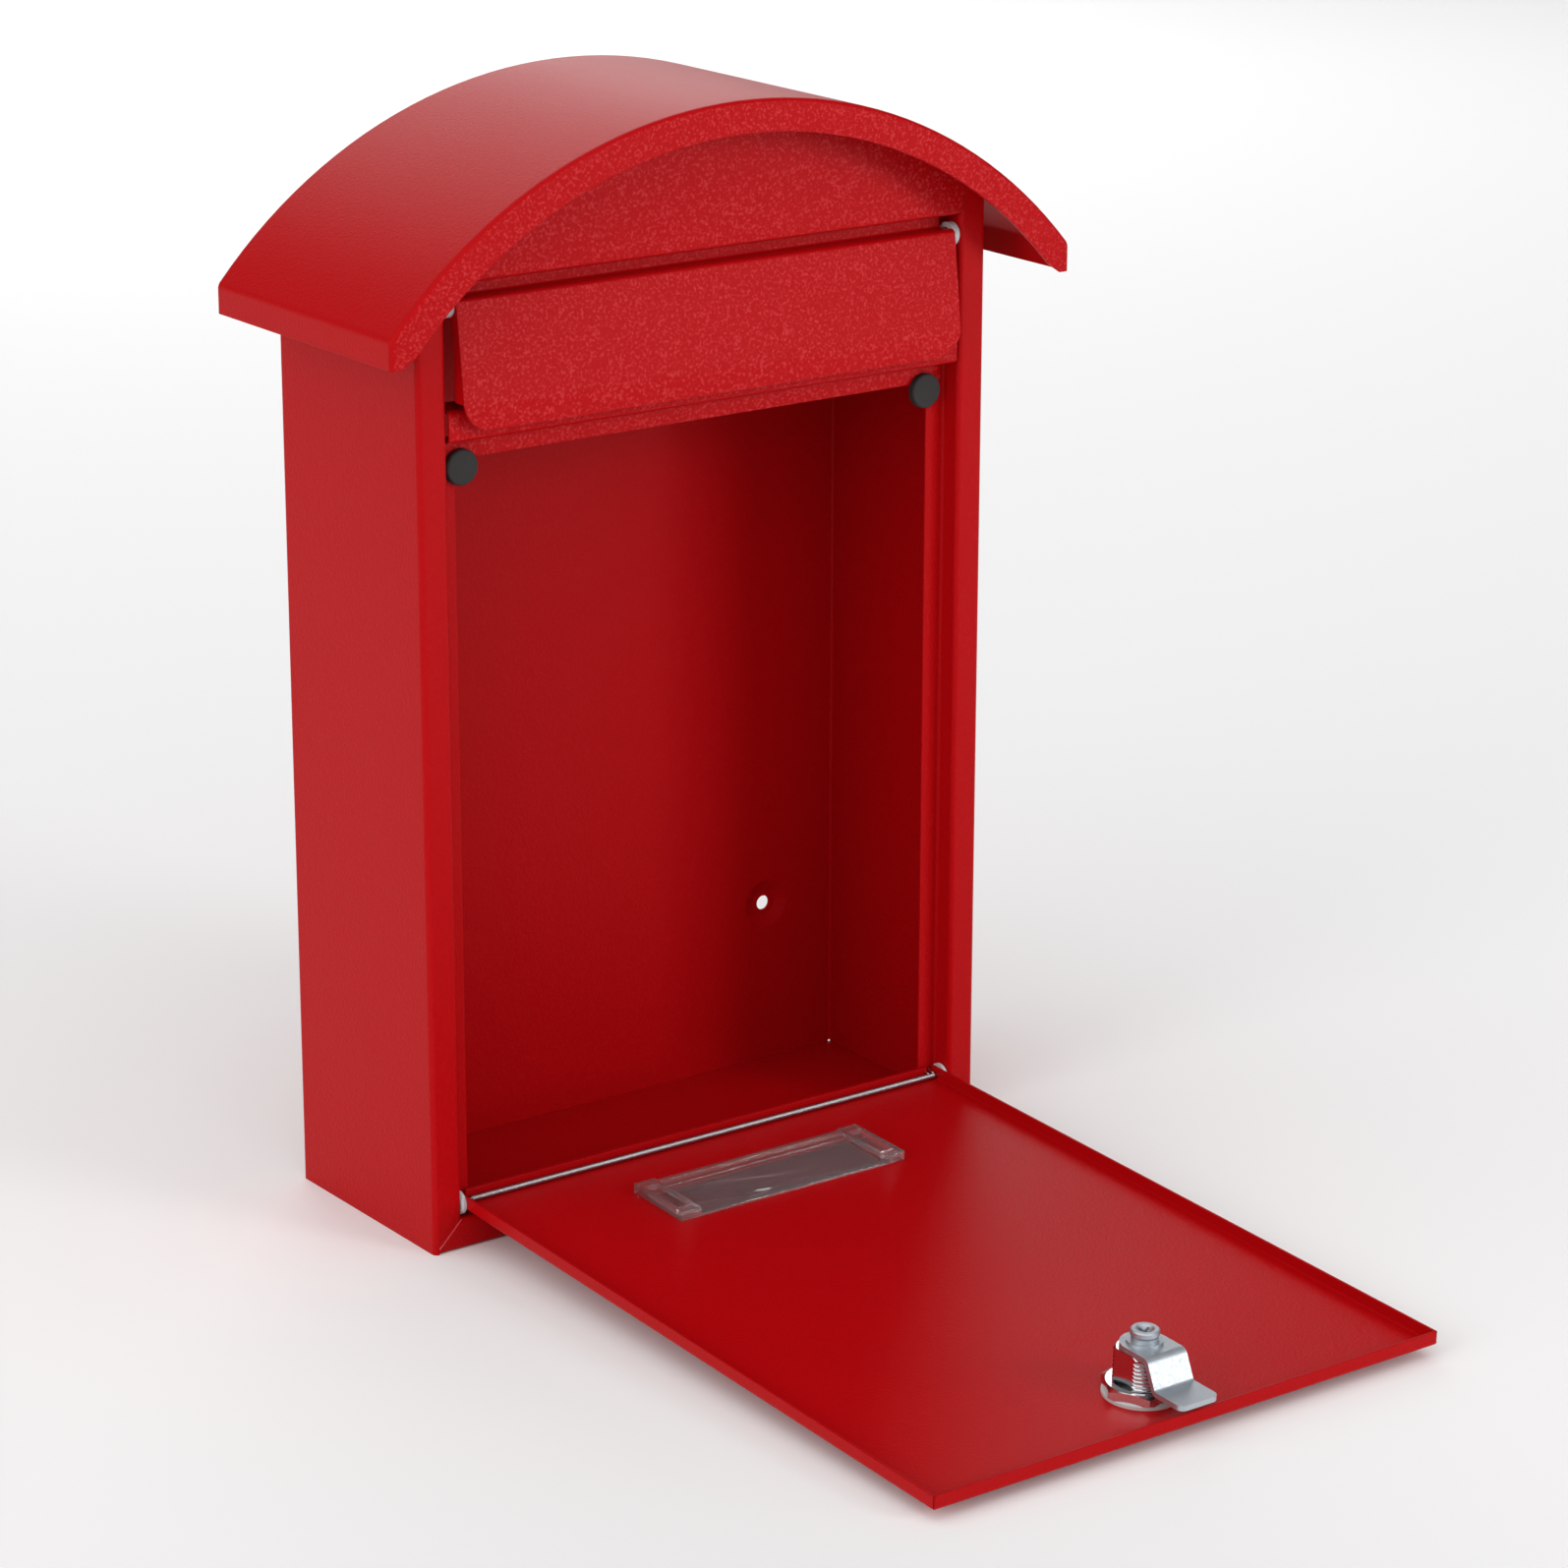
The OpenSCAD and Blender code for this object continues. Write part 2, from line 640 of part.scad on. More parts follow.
// Rubber bumpers on the upper corners of the stop flanges
module bumper_right() {
    color(RUBBER) translate([open_half - bumper_in, stop_y, rail_bottom - bumper_down])
        rotate([90, 0, 0]) rotate_extrude() {
            square([bumper_dia / 2 - bumper_round, bumper_t]);
            square([bumper_dia / 2, bumper_t - bumper_round]);
            translate([bumper_dia / 2 - bumper_round, bumper_t - bumper_round]) circle(bumper_round);
        }
}
module bumper_left() { mirror([1, 0, 0]) bumper_right(); }

// Clear name holder on the inside of the door
module name_holder() {
    base_z = face_z + sheet;
    half = holder_l / 2;
    near = -holder_up;
    free = near - holder_w;
    rim_t = 2;
    color(CLEAR) open_door() translate([0, 0, base_z]) difference() {
        union() {
            translate([-half, free, 0]) cube([holder_l, holder_w, pane_t]);
            // stepped long rail beside the hinge
            translate([-half, near - holder_rail, 0]) cube([holder_l, holder_rail, rim_t]);
            translate([-half, near - holder_rail / 2, 0]) cube([holder_l, holder_rail / 2, holder_t - 0.8]);
            // end caps
            for (s = [-1, 1]) translate([s > 0 ? half - holder_cap : -half, free, 0])
                cube([holder_cap, holder_w, holder_t]);
        }
        // pockets that thin the end caps
        for (s = [-1, 1]) translate([s > 0 ? half - holder_cap + 1.4 : -half + 1.4, free + 5, pane_t + 0.6])
            cube([holder_cap - 2.8, holder_w - 10, holder_t]);
        // slots where the card slips under the caps
        for (s = [-1, 1]) translate([s > 0 ? half - holder_cap - 1 : -half + 1.4, free + 3, pane_t])
            cube([holder_cap - 0.4, holder_w - 6 - holder_rail, 0.6]);
    }
}

// Outline of the lock's threaded barrel with its two flats
module barrel_outline(grow) {
    intersection() {
        circle(d = barrel_dia + 2 * grow);
        square([barrel_flats + 2 * grow, barrel_dia + 2 * grow + 1], center = true);
    }
}

module at_lock() {
    open_door() translate([0, -lock_up, face_z]) children();
}

cam_top_h = barrel_h + 0.2 + cam_t;
cam_mid_h = barrel_h + 0.2 + cam_t / 2;
washer_t = 1;
spring_washer_t = 1.4;
washer_base = cam_top_h;
spring_base = washer_base + washer_t;
head_base = spring_base + spring_washer_t;
head_h = 2.8;

module lock_barrel() {
    color(STEEL) at_lock() difference() {
        union() {
            intersection() {
                linear_extrude(height = barrel_h) barrel_outline(0);
                rotate_extrude() polygon([[0, 0], [barrel_dia / 2 + 1, 0],
                    [barrel_dia / 2 + 1, barrel_h - barrel_chamfer - 1],
                    [barrel_dia / 2 - barrel_chamfer, barrel_h], [0, barrel_h]]);
            }
            translate([0, 0, -bezel_h]) rotate_extrude()
                polygon([[0, 0], [bezel_dia / 2 - 2.5, 0], [bezel_dia / 2 - 0.6, 1.2],
                    [bezel_dia / 2, 3], [bezel_dia / 2, bezel_h], [0, bezel_h]]);
        }
        translate([0, 0, -bezel_h - 1]) cylinder(d = plug_dia + 2 * run_gap, h = barrel_h + bezel_h + 2);
    }
}

module lock_plug() {
    face = -bezel_h + 0.6;
    color(STEEL) at_lock() difference() {
        union() {
            translate([0, 0, face]) cylinder(d = plug_dia, h = barrel_h - face + 0.15);
            translate([-drive_sq / 2, -drive_sq / 2, barrel_h]) cube([drive_sq, drive_sq, cam_t + 0.1]);
        }
        // keyway
        translate([-0.6, -3.6, face - 1]) cube([1.2, 7.2, 9]);
        translate([0, 0, barrel_h - 10]) cylinder(d = screw_dia + 2 * run_gap, h = barrel_h);
    }
}

module lock_seal() {
    color(NYLON) at_lock() translate([0, 0, sheet]) difference() {
        cylinder(d = seal_dia, h = seal_t);
        translate([0, 0, -1]) linear_extrude(height = seal_t + 2) barrel_outline(2 * seam);
    }
}

module lock_nut() {
    color(STEEL) at_lock() translate([0, 0, sheet + seal_t]) difference() {
        intersection() {
            cylinder(d = nut_af / cos(30), h = nut_t, $fn = 6);
            rotate_extrude() polygon([[0, 0], [nut_af / 2 + 1, 0], [nut_af / cos(30) / 2 + 0.01, 0.8],
                [nut_af / cos(30) / 2 + 0.01, nut_t - 1], [nut_af / 2 - 0.2, nut_t], [0, nut_t]]);
        }
        translate([0, 0, -1]) cylinder(d = barrel_dia + 2 * seam, h = nut_t + 2);
    }
}

// Z-bent cam: round head on the plug, folded down to a flat tongue
module lock_cam() {
    drop_y = 5;
    color(STEEL) at_lock() difference() {
        intersection() {
            along_x(cam_w) folded([[cam_w / 2, cam_mid_h], [-11.4, cam_mid_h],
                [-11.4 - drop_y, cam_tongue_h], [-cam_reach, cam_tongue_h]], thick = cam_t, r = 2.4);
            linear_extrude(height = 2 * cam_top_h) union() {
                circle(d = cam_w);
                translate([-cam_w / 2, -cam_reach + 3]) square([cam_w, cam_reach - 3]);
                translate([-cam_w / 2 + 3, -cam_reach]) square([cam_w - 6, cam_reach]);
                for (s = [-1, 1]) translate([s * (cam_w / 2 - 3), -cam_reach + 3]) circle(3);
            }
        }
        translate([-drive_sq / 2 - run_gap, -drive_sq / 2 - run_gap, barrel_h - 1])
            cube([drive_sq + 2 * run_gap, drive_sq + 2 * run_gap, cam_t + 3]);
    }
}

module cam_washer() {
    color(STEEL) at_lock() translate([0, 0, washer_base]) difference() {
        cylinder(d = washer_dia, h = washer_t);
        translate([0, 0, -1]) cylinder(d = screw_dia + 4 * run_gap, h = washer_t + 2);
    }
}

// Split ring, drawn pressed flat by the screw
module cam_spring_washer() {
    color(STEEL) at_lock() translate([0, 0, spring_base]) difference() {
        cylinder(d = screw_head - 0.8, h = spring_washer_t);
        translate([0, 0, -1]) cylinder(d = screw_dia + 4 * run_gap, h = spring_washer_t + 2);
        translate([2, -0.3, -1]) cube([6, 0.6, spring_washer_t + 2]);
    }
}

module cam_screw() {
    color(STEEL) at_lock() difference() {
        union() {
            translate([0, 0, head_base]) rotate_extrude()
                polygon([[0, 0], [screw_head / 2 - 0.7, 0], [screw_head / 2, 0.9],
                    [screw_head / 2, head_h - 0.5], [screw_head / 2 - 0.5, head_h], [0, head_h]]);
            translate([0, 0, barrel_h - 8]) cylinder(d = screw_dia, h = head_base - barrel_h + 9);
        }
        // dished top with a cross recess
        translate([0, 0, head_base + head_h + 3.4]) sphere(d = 9.6);
        for (a = [0, 90]) rotate([0, 0, a + 20]) translate([-2.6, -0.55, head_base + 0.6]) cube([5.2, 1.1, 4]);
    }
}

// Lifts a piece so that the origin is in the middle of the wall holes
module hung() { translate([0, 0, -mount_z]) children(); }

hung() body_shell();
hung() bottom_panel();
hung() gable_panel();
hung() slot_rail();
hung() roof();
hung() letter_flap();
hung() flap_rod();
hung() flap_bush_left();
hung() flap_bush_right();
hung() door();
hung() door_rod();
hung() door_spring();
hung() door_bush_left();
hung() door_bush_right();
hung() bumper_left();
hung() bumper_right();
hung() name_holder();
hung() lock_barrel();
hung() lock_plug();
hung() lock_seal();
hung() lock_nut();
hung() lock_cam();
hung() cam_washer();
hung() cam_spring_washer();
hung() cam_screw();
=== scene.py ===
# %% [markdown]
# # A red wall mailbox, standing open
# The mailbox is folded from thin steel sheet and powder coated red. Its solids come ready made,
# at their real size, so this notebook gives them their finishes and models what is too fine for
# the solids: the paint in the mitre seams, the coiled hinge spring, the rounded edges of the
# clear name holder and the lock's thread. The first cell loads the solids and measures them.

# %% Load the solids
import json
import math

import bpy
from mathutils import Matrix, Vector


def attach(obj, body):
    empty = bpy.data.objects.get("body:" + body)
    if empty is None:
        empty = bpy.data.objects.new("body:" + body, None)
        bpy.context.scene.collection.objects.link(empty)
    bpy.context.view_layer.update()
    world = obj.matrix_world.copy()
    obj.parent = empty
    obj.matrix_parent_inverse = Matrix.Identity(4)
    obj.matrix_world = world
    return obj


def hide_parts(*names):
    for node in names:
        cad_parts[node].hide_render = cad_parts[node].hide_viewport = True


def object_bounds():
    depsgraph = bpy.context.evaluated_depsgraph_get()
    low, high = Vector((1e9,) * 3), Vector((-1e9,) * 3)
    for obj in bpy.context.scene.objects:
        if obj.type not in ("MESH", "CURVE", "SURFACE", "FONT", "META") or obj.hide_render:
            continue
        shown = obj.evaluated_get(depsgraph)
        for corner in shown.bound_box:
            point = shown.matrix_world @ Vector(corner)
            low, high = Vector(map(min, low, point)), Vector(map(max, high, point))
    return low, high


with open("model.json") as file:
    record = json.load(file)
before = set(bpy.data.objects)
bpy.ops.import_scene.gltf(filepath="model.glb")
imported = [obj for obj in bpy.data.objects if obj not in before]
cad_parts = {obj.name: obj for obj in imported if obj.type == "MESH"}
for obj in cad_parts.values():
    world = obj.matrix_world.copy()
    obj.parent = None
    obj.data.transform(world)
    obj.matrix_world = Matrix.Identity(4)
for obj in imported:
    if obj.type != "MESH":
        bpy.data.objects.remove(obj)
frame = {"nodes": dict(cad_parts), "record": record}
parts = frame["nodes"]
solid_box = [list(corner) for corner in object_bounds()]
MM = 0.001
print("solids:", len(parts), "box in m:", solid_box)

# %% [markdown]
# An operator acts on all that is selected, and the solids arrive selected. Every modelling step
# below therefore starts by letting go of everything, and a second helper then takes hold of the
# one piece that the step is about.

# %% Let go of everything, take hold of one piece
def let_go():
    if bpy.context.object and bpy.context.object.mode != "OBJECT":
        bpy.ops.object.mode_set(mode="OBJECT")
    bpy.ops.object.select_all(action="DESELECT")


def take(piece):
    let_go()
    piece.select_set(True)
    bpy.context.view_layer.objects.active = piece


let_go()
print("selected objects:", len(bpy.context.selected_objects))

# %% [markdown]
# ## Camera
# The photograph was matched by a pinhole camera: a long lens, about 36 degrees round to the
# left of the box and 18 degrees above it. Such a lens keeps the box's upright edges nearly
# parallel. The small shift puts the picture's middle where the photograph has it.

# %% Set up the camera
CAMERA_PLACE = Vector((-1.023605, -1.545091, 0.533303))
CAMERA_TURN = math.radians(36.062)
CAMERA_TILT = math.radians(-17.776)
CAMERA_ROLL = math.radians(0.123)
SENSOR_WIDTH, LENS = 36, 109.83  # mm
SHIFT_RIGHT, SHIFT_UP = 0.0075, 0.0082  # shares of the picture's width
FARTHEST_SEEN = 50  # m


def camera_axes():
    ahead = Vector((math.sin(CAMERA_TURN) * math.cos(CAMERA_TILT),
                    math.cos(CAMERA_TURN) * math.cos(CAMERA_TILT), math.sin(CAMERA_TILT)))
    right = ahead.cross(Vector((0, 0, 1))).normalized()
    up = right.cross(ahead)
    cosine, sine = math.cos(CAMERA_ROLL), math.sin(CAMERA_ROLL)
    return right * cosine + up * sine, up * cosine - right * sine, ahead


bpy.ops.object.camera_add(location=CAMERA_PLACE)
camera = bpy.context.object
right, up, ahead = camera_axes()
camera_turned = Matrix((right, up, -ahead)).transposed().to_4x4()
camera.matrix_world = Matrix.Translation(CAMERA_PLACE) @ camera_turned
camera.data.sensor_width = SENSOR_WIDTH
camera.data.lens = LENS
camera.data.shift_x = SHIFT_RIGHT
camera.data.shift_y = SHIFT_UP
camera.data.clip_end = FARTHEST_SEEN
bpy.context.scene.camera = camera
print("camera looks along", [round(v, 3) for v in ahead])

# %% [markdown]
# ## Stage
# A plain pale floor runs far behind the box, so that its far edge stays out of the picture and
# the sheet steel mirrors nothing but white. The box stands on it, so the floor's height is the
# solids' lowest point.

# %% Lay the floor
FLOOR_SIZE = 400  # m
floor_height = solid_box[0][2]
let_go()
bpy.ops.mesh.primitive_plane_add(size=FLOOR_SIZE, location=(0, 0, floor_height))
studio_floor = bpy.context.object
studio_floor.name = "studio_floor"
print("floor at", round(floor_height, 4), "m")

# %% [markdown]
# ## Light
# Powder coat shows its form by broad, soft reflections. In the photograph the roof is palest
# near its top, where it mirrors something bright behind the box, while the sides and the front
# are deep red and evenly lit. So a wide lamp stands high behind the box, and another lights the
# left side. The two in front stand to the right of the box, where they don't shine on the inside
# of its right wall, which stays dark. The lower of them is almost where the front mirrors the
# camera, so that the paint's grains glint on the roof's lip and on the flap.

# %% Hang the soft lamps
def soft_lamp(name, place, target, size, power):
    bpy.ops.object.light_add(type="AREA", location=place)
    lamp = bpy.context.object
    lamp.name = name
    lamp.data.shape = "DISK"
    lamp.data.size = size
    lamp.data.energy = power
    lamp.rotation_euler = (Vector(target) - Vector(place)).to_track_quat("-Z", "Y").to_euler()


BOX_MIDDLE = (0, -0.1, 0)
SOFT_LAMPS = (  # name, place in m, width in m, power in W
    ("back_lamp", (1.3, 2.7, 1.5), 2.6, 29),
    ("front_lamp", (1.1, -2.5, 0.9), 0.9, 18),
    ("low_lamp", (1.75, -2.45, 0.12), 0.5, 9),
    ("left_lamp", (-2.6, -0.6, 0.8), 1.4, 17),
)
for name, place, width, power in SOFT_LAMPS:
    soft_lamp(name, place, BOX_MIDDLE, width, power)
print("soft lamps:", len(SOFT_LAMPS))

# %% [markdown]
# The ground of the photograph is white all round, with only a soft shadow at the box's foot. A
# lamp would whiten the floor in a spot. A sun from above does it evenly, out to the far edge, and
# its wide angle keeps the shadow soft. The faint white of the room fills in what is left.

# %% Add the sun and the white of the room
SUN_STRENGTH, SUN_SPREAD, SUN_SHINES = 1.75, math.radians(104), (0.5, 0.3, -1)
ROOM_STRENGTH = 0.2
bpy.ops.object.light_add(type="SUN", location=(0, 0, 3))
sun = bpy.context.object
sun.name = "wide_sun"
sun.data.energy = SUN_STRENGTH
sun.data.angle = SUN_SPREAD
sun.rotation_euler = Vector(SUN_SHINES).to_track_quat("-Z", "Y").to_euler()

world = bpy.data.worlds.new("studio")
bpy.context.scene.world = world
world.use_nodes = True
room = world.node_tree.nodes["Background"]
room.inputs["Color"].default_value = (1, 1, 1, 1)
room.inputs["Strength"].default_value = ROOM_STRENGTH
bpy.context.scene.view_settings.view_transform = "Standard"

# %% [markdown]
# ## Finishes
# Every finish is one Principled shader. The helper makes it from a base colour, a roughness and
# a metal share, and hands back its nodes, so that a finish can add a fine pattern of its own.

# %% A helper for finishes
def finish_of(name, colour, roughness, metallic=0.0):
    made = bpy.data.materials.new(name)
    made.use_nodes = True
    shader = made.node_tree.nodes["Principled BSDF"]
    shader.inputs["Base Color"].default_value = (*colour, 1)
    shader.inputs["Roughness"].default_value = roughness
    shader.inputs["Metallic"].default_value = metallic
    return made, made.node_tree, shader


def grain(tree, scale, detail=2.0):
    """A noise pattern fixed to the piece, in grains to a metre."""
    place = tree.nodes.new("ShaderNodeTexCoord")
    noise = tree.nodes.new("ShaderNodeTexNoise")
    noise.inputs["Scale"].default_value = scale
    noise.inputs["Detail"].default_value = detail
    tree.links.new(place.outputs["Object"], noise.inputs["Vector"])
    return noise


floor_paint, _, floor_shader = finish_of("floor_white", (0.94, 0.94, 0.94), roughness=0.9)
floor_shader.inputs["Specular IOR Level"].default_value = 0.1
studio_floor.data.materials.append(floor_paint)
print("first finish:", floor_paint.name)

# %% [markdown]
# The red is a fine-textured powder coat: tiny grains stand up out of the paint and each catches
# the light. A noise of about a grain to the millimetre, with a finer one mixed in, drives a small
# bump. Its peaks are painted a shade paler than the rest, as painted glints of the grains,
# because a bump alone is lost between the pixels of a picture of the whole box. A Bevel node
# softens the cut edges of the sheet, since paint draws back from a sharp edge and rounds it, and
# a slow noise lets the gloss drift a little.
#
# The grains glint most on the roof's lip and the flap, while on the arch, the inside and the
# door's inner side they hardly show. So there is a plain coat, whose painted glints are faint,
# and one with paler painted glints, which fade out where the sheet turns away from the front: the
# y of the piece's own normal says how far. The open door's outer side looks down, so its painted
# glints go by the z instead.

# %% Red powder coat
RED = (0.44, 0.0022, 0.004)
COARSE_GRAINS, FINE_GRAINS, SHARE_OF_FINE = 850, 3400, 0.35
GRAIN_HEIGHT, GRAIN_STRENGTH = 0.00035, 0.55
EDGE_RADIUS = 0.0007
FADE_STARTS, FADE_ENDS = -0.6, -0.9  # the normal's y or z where the painted glints begin, and are whole
GLINTS_START, GLINTS_END = 0.50, 0.68  # heights of the noise
GLOSS_CLOUDS, SMOOTHEST, ROUGHEST = 9, 0.26, 0.34
MIRROR_SHARE = 0.06


def powder_coat(name, glint_colour, glint_side=None):
    made, tree, shader = finish_of(name, RED, roughness=0.3)
    shader.inputs["Specular IOR Level"].default_value = MIRROR_SHARE
    coarse = grain(tree, COARSE_GRAINS, detail=2.5)
    fine = grain(tree, FINE_GRAINS, detail=1.0)
    both = tree.nodes.new("ShaderNodeMix")
    both.inputs["Factor"].default_value = SHARE_OF_FINE
    tree.links.new(coarse.outputs["Fac"], both.inputs["A"])
    tree.links.new(fine.outputs["Fac"], both.inputs["B"])
    bump = tree.nodes.new("ShaderNodeBump")
    bump.inputs["Strength"].default_value = GRAIN_STRENGTH
    bump.inputs["Distance"].default_value = GRAIN_HEIGHT
    soft_edge = tree.nodes.new("ShaderNodeBevel")
    soft_edge.samples = 4
    soft_edge.inputs["Radius"].default_value = EDGE_RADIUS
    tree.links.new(soft_edge.outputs["Normal"], bump.inputs["Normal"])
    tree.links.new(both.outputs["Result"], bump.inputs["Height"])
    tree.links.new(bump.outputs["Normal"], shader.inputs["Normal"])

    height = coarse.outputs["Fac"]
    # The painted glints fade out where the sheet turns away from the front.
    if glint_side:
        place = tree.nodes.new("ShaderNodeTexCoord")
        turned_to = tree.nodes.new("ShaderNodeSeparateXYZ")
        facing = tree.nodes.new("ShaderNodeMapRange")
        facing.inputs["From Min"].default_value = FADE_STARTS
        facing.inputs["From Max"].default_value = FADE_ENDS
        faded = tree.nodes.new("ShaderNodeMath")
        faded.operation = "MULTIPLY"
        tree.links.new(place.outputs["Normal"], turned_to.inputs["Vector"])
        tree.links.new(turned_to.outputs[glint_side], facing.inputs["Value"])
        tree.links.new(facing.outputs["Result"], faded.inputs[0])
        tree.links.new(coarse.outputs["Fac"], faded.inputs[1])
        height = faded.outputs["Value"]
    # Paler colour on the noise peaks: painted glints of the grains.
    glint_ramp = tree.nodes.new("ShaderNodeValToRGB")
    glint_ramp.color_ramp.elements[0].position = GLINTS_START
    glint_ramp.color_ramp.elements[0].color = (*RED, 1)
    glint_ramp.color_ramp.elements[1].position = GLINTS_END
    glint_ramp.color_ramp.elements[1].color = (*glint_colour, 1)
    tree.links.new(height, glint_ramp.inputs["Fac"])
    tree.links.new(glint_ramp.outputs["Color"], shader.inputs["Base Color"])

    uneven = grain(tree, GLOSS_CLOUDS, detail=1.0)
    spread = tree.nodes.new("ShaderNodeMapRange")
    spread.inputs["To Min"].default_value = SMOOTHEST
    spread.inputs["To Max"].default_value = ROUGHEST
    tree.links.new(uneven.outputs["Fac"], spread.inputs["Value"])
    tree.links.new(spread.outputs["Result"], shader.inputs["Roughness"])
    return made


# Peak colours are painted glints: faint on the plain coat, paler on the other two.
FAINT_PAINTED_GLINT, PAINTED_GLINT = (0.46, 0.004, 0.006), (0.56, 0.026, 0.031)
red_paint = powder_coat("red_powder_coat", FAINT_PAINTED_GLINT)
glinting_paint = powder_coat("red_powder_coat_painted_glints", PAINTED_GLINT, glint_side="Y")
door_paint = powder_coat("red_powder_coat_door", PAINTED_GLINT, glint_side="Z")
print("powder coats:", [coat.name for coat in (red_paint, glinting_paint, door_paint)])

# %% [markdown]
# The small parts are white nylon, black rubber, spring wire, zinc-plated steel, chrome and two
# plastics. The clear holder lets light through with the bend of a plastic, and the washer under
# the nut is milky, so part of the light goes into it and comes out again. The rubber gets a fine
# grain, and the two plated metals a cloudy gloss, which keeps them from looking like mirrors.

# %% Small finishes
nylon, _, nylon_shader = finish_of("white_nylon", (0.56, 0.55, 0.56), roughness=0.45)
nylon_shader.inputs["Subsurface Weight"].default_value = 0.1
rubber, rubber_tree, rubber_shader = finish_of(
    "black_rubber", (0.02, 0.018, 0.018), roughness=0.75)
spring_wire, _, _ = finish_of("spring_wire", (0.50, 0.50, 0.52), roughness=0.28, metallic=1.0)
zinc, zinc_tree, zinc_shader = finish_of(
    "zinc_plate", (0.51, 0.55, 0.59), roughness=0.45, metallic=1.0)
chrome, chrome_tree, chrome_shader = finish_of(
    "lock_chrome", (0.78, 0.78, 0.8), roughness=0.14, metallic=1.0)
clear, _, clear_shader = finish_of("clear_plastic", (0.90, 0.86, 0.88), roughness=0.03)
clear_shader.inputs["Transmission Weight"].default_value = 0.93
clear_shader.inputs["IOR"].default_value = 1.49
milky, _, milky_shader = finish_of("milky_plastic", (0.78, 0.78, 0.76), roughness=0.4)
milky_shader.inputs["Transmission Weight"].default_value = 0.35
print("small finishes:", nylon.name, rubber.name, spring_wire.name, clear.name, milky.name)

# %% Grain of the rubber, cloudy gloss of the metals
RUBBER_GRAINS, RUBBER_GRAIN_HEIGHT = 3500, 0.0003
rubber_grain = grain(rubber_tree, RUBBER_GRAINS)
rubber_bump = rubber_tree.nodes.new("ShaderNodeBump")
rubber_bump.inputs["Strength"].default_value = 0.5
rubber_bump.inputs["Distance"].default_value = RUBBER_GRAIN_HEIGHT
rubber_tree.links.new(rubber_grain.outputs["Fac"], rubber_bump.inputs["Height"])
rubber_tree.links.new(rubber_bump.outputs["Normal"], rubber_shader.inputs["Normal"])


def mottle(tree, shader, scale, low, high):
    """Cloudy gloss, as a bath of metal leaves it: the roughness drifts between two values."""
    drift = tree.nodes.new("ShaderNodeMapRange")
    drift.inputs["To Min"].default_value = low
    drift.inputs["To Max"].default_value = high
    tree.links.new(grain(tree, scale).outputs["Fac"], drift.inputs["Value"])
    tree.links.new(drift.outputs["Result"], shader.inputs["Roughness"])


mottle(zinc_tree, zinc_shader, scale=700, low=0.34, high=0.60)
mottle(chrome_tree, chrome_shader, scale=500, low=0.08, high=0.22)
print("finishes:", [m.name for m in bpy.data.materials if m.users])

# %% [markdown]
# Each solid knows the slot that its record gives it, so one table of finishes dresses them all.
# The four pieces round the letter slot and the door then get their coats with paler painted
# glints.

# %% Dress the solids
FINISHES = {
    "red_paint": red_paint, "white_nylon": nylon, "black_rubber": rubber,
    "spring_steel": spring_wire, "clear_plastic": clear, "zinc_plate": zinc,
    "lock_chrome": chrome, "milky_plastic": milky,
}
for entry in frame["record"]["subparts"]:
    solid = parts[entry["node"]]
    solid.data.materials.clear()
    solid.data.materials.append(FINISHES[entry["material_slot"]])
# Coats with paler painted glints for the slot's pieces and the door.
for node in ("roof", "letter_flap", "gable_panel", "slot_rail"):
    parts[node].data.materials[0] = glinting_paint
parts["door"].data.materials[0] = door_paint

# %% [markdown]
# ## The door's own directions
# The door lies open and droops by two degrees, so what is modelled on it would be awkward to
# place in the room's directions. It is easier to model each piece upright at the origin and to
# carry it over with one matrix. The hinge's place comes from the record, as does the lock's.

# %% Matrices of the door and the lock
JOINTS = {joint["name"]: joint for joint in frame["record"]["behaviour"]["joints"]}
DOOR_DROOP = math.radians(2.05)
DOOR_FACE = -2.4 * MM
hinge_place = Vector(JOINTS["door_hinge"]["pos_m"])
lock_place = Vector(JOINTS["lock_turn"]["pos_m"])
lock_up = Vector(JOINTS["lock_turn"]["axis"])
droop = Matrix.Rotation(DOOR_DROOP, 4, "X")
door_frame = Matrix.Translation(hinge_place) @ droop
lock_frame = Matrix.Translation(lock_place + lock_up * DOOR_FACE) @ droop


def carry_over(piece, matrix):
    """Places a piece by a matrix and puts its place into its mesh."""
    take(piece)
    piece.matrix_world = matrix @ piece.matrix_world
    bpy.ops.object.transform_apply(location=True, rotation=True, scale=True)


print("lock at", [round(v, 5) for v in lock_frame.translation])

# %% [markdown]
# ## The mitre seams
# At the lower corners the side flange and the bottom flange meet along a mitre, and the paint
# fills the joint and stands a little proud. It is thicker there and flows smooth, so it is
# glossier, and its colour is painted a paler red, a painted highlight, so that it shows as a fine
# bright line.
# A small circle is extruded in three steps, thin at both ends, flattened, and laid along the
# mitre. A helper fills the circle first, and another turns all faces outwards once the piece is
# closed. Both serve for the spring's wire too.

# %% Helpers for a closed rod
def fill_circle():
    """Goes into edit mode and fills the new circle, so that extruding it makes a closed rod."""
    bpy.ops.object.mode_set(mode="EDIT")
    bpy.ops.mesh.select_all(action="SELECT")
    bpy.ops.mesh.edge_face_add()


def faces_outwards():
    """Turns all faces of the piece in edit mode outwards, and leaves edit mode."""
    bpy.ops.mesh.select_all(action="SELECT")
    bpy.ops.mesh.normals_make_consistent(inside=False)
    bpy.ops.object.mode_set(mode="OBJECT")


print("helpers:", fill_circle.__name__, "and", faces_outwards.__name__)

